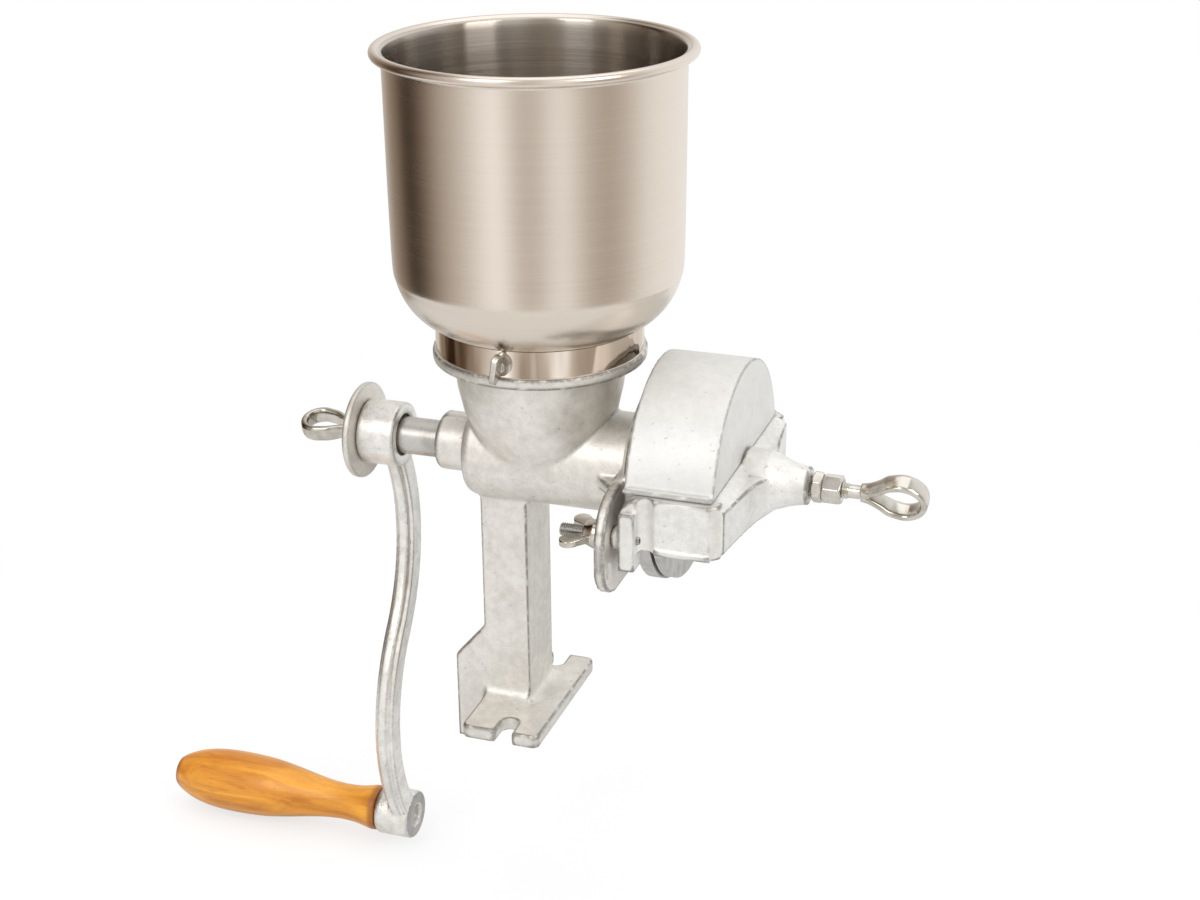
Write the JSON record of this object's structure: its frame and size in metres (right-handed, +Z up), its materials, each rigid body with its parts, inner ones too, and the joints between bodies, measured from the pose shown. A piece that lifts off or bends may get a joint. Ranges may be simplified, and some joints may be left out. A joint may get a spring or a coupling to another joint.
{
  "type": "hand grain mill",
  "caption": "Hand cranked grain mill with a steel hopper, cast barrel on a slotted foot, screw fed burr plates under an arched cover, adjusting screw and S crank with wooden grip.",
  "frame": {"origin": "middle of the underside of the foot plate", "axes": "+X along the barrel from the crank towards the adjusting screw, +Y across it, +Z up"},
  "size_m": [0.4105, 0.15, 0.4401],
  "materials": {
    "body_casting": "matte tinned sand casting",
    "yoke_casting": "matte tinned sand casting",
    "cover_casting": "matte tinned sand casting",
    "crank_casting": "matte tinned sand casting",
    "burr_iron": "bare ground iron",
    "auger_iron": "bare casting",
    "shaft_steel": "turned",
    "plain_steel": "plain",
    "ball_steel": "polished",
    "washer_steel": "plated",
    "nickel_screws": "bright nickel plate",
    "bowl_steel": "fine round brushing",
    "collar_steel": "mirror polish",
    "grip_wood": "clear orange brown lacquer"
  },
  "bodies": {
    "frame": {"mill_body": "body_casting", "fixed_burr": "burr_iron", "burr_screws": "plain_steel", "yoke": "yoke_casting", "yoke_stud_near": "plain_steel", "yoke_stud_far": "plain_steel"},
    "thrust_ball": {"thrust_ball": "ball_steel"},
    "crank_train": {"drive_shaft": "shaft_steel", "feed_auger": "auger_iron", "turning_burr": "burr_iron", "drive_pin": "plain_steel", "crank_arm": "crank_casting", "handle_pin": "plain_steel", "handle_washer": "plain_steel"},
    "adjuster": {"adjusting_screw": "nickel_screws", "inner_lock_nut": "nickel_screws", "outer_lock_nut": "nickel_screws"},
    "grip": {"handle_grip": "grip_wood"},
    "crank_washer": {"crank_washer": "washer_steel"},
    "thumb_screw": {"crank_thumb_screw": "nickel_screws"},
    "hopper": {"hopper_bowl": "bowl_steel", "hopper_collar": "collar_steel", "hopper_nut": "nickel_screws"},
    "hopper_screw": {"hopper_thumb_screw": "nickel_screws"},
    "cover": {"burr_cover": "cover_casting"},
    "near_washer": {"wing_washer_near": "washer_steel"},
    "near_wing_nut": {"wing_nut_near": "nickel_screws"},
    "far_washer": {"wing_washer_far": "washer_steel"},
    "far_wing_nut": {"wing_nut_far": "nickel_screws"}
  },
  "joints": [
    {"name": "adjuster_feed", "type": "slide", "parent": "frame", "child": "thrust_ball", "axis": [1, 0, 0], "range_m": [-0.0008, 0.0022]},
    {"name": "crank_turn", "type": "hinge", "parent": "thrust_ball", "child": "crank_train", "pos_m": [0, 0, 0.1415], "axis": [1, 0, 0], "continuous": true},
    {"name": "adjuster_turn", "type": "hinge", "parent": "thrust_ball", "child": "adjuster", "pos_m": [0, 0, 0.1415], "axis": [1, 0, 0], "range_deg": [-232, 635]},
    {"name": "grip_spin", "type": "hinge", "parent": "crank_train", "child": "grip", "pos_m": [-0.15, 0, -0.082], "axis": [1, 0, 0], "continuous": true},
    {"name": "washer_slack", "type": "slide", "parent": "crank_train", "child": "crank_washer", "axis": [-1, 0, 0], "range_m": [0, 0.006]},
    {"name": "thumb_screw_turn", "type": "hinge", "parent": "crank_washer", "child": "thumb_screw", "pos_m": [-0.1, 0, 0.1415], "axis": [-1, 0, 0], "range_deg": [-1, 1730]},
    {"name": "hopper_lift", "type": "slide", "parent": "frame", "child": "hopper", "axis": [0, 0, 1], "range_m": [0, 0.06]},
    {"name": "hopper_screw_turn", "type": "hinge", "parent": "hopper", "child": "hopper_screw", "pos_m": [0.0095, -0.055, 0.2046], "axis": [0, -1, 0], "range_deg": [0, 180]},
    {"name": "cover_lift", "type": "slide", "parent": "frame", "child": "cover", "axis": [0, 0, 1], "range_m": [0, 0.018]},
    {"name": "near_washer_slack", "type": "slide", "parent": "frame", "child": "near_washer", "axis": [-1, 0, 0], "range_m": [0, 0.006]},
    {"name": "near_wing_turn", "type": "hinge", "parent": "near_washer", "child": "near_wing_nut", "pos_m": [0.05, -0.0588, 0.1305], "axis": [-1, 0, 0], "range_deg": [-1, 1730]},
    {"name": "far_washer_slack", "type": "slide", "parent": "frame", "child": "far_washer", "axis": [-1, 0, 0], "range_m": [0, 0.006]},
    {"name": "far_wing_turn", "type": "hinge", "parent": "far_washer", "child": "far_wing_nut", "pos_m": [0.05, 0.0588, 0.1305], "axis": [-1, 0, 0], "range_deg": [-1, 1730]}
  ],
  "couplings": [
    {"joint": "adjuster_turn", "follows": "adjuster_feed", "rad_per_m": 5026.5},
    {"joint": "thumb_screw_turn", "follows": "washer_slack", "rad_per_m": 5026.5},
    {"joint": "near_wing_turn", "follows": "near_washer_slack", "rad_per_m": 5026.5},
    {"joint": "far_wing_turn", "follows": "far_washer_slack", "rad_per_m": 5026.5}
  ]
}
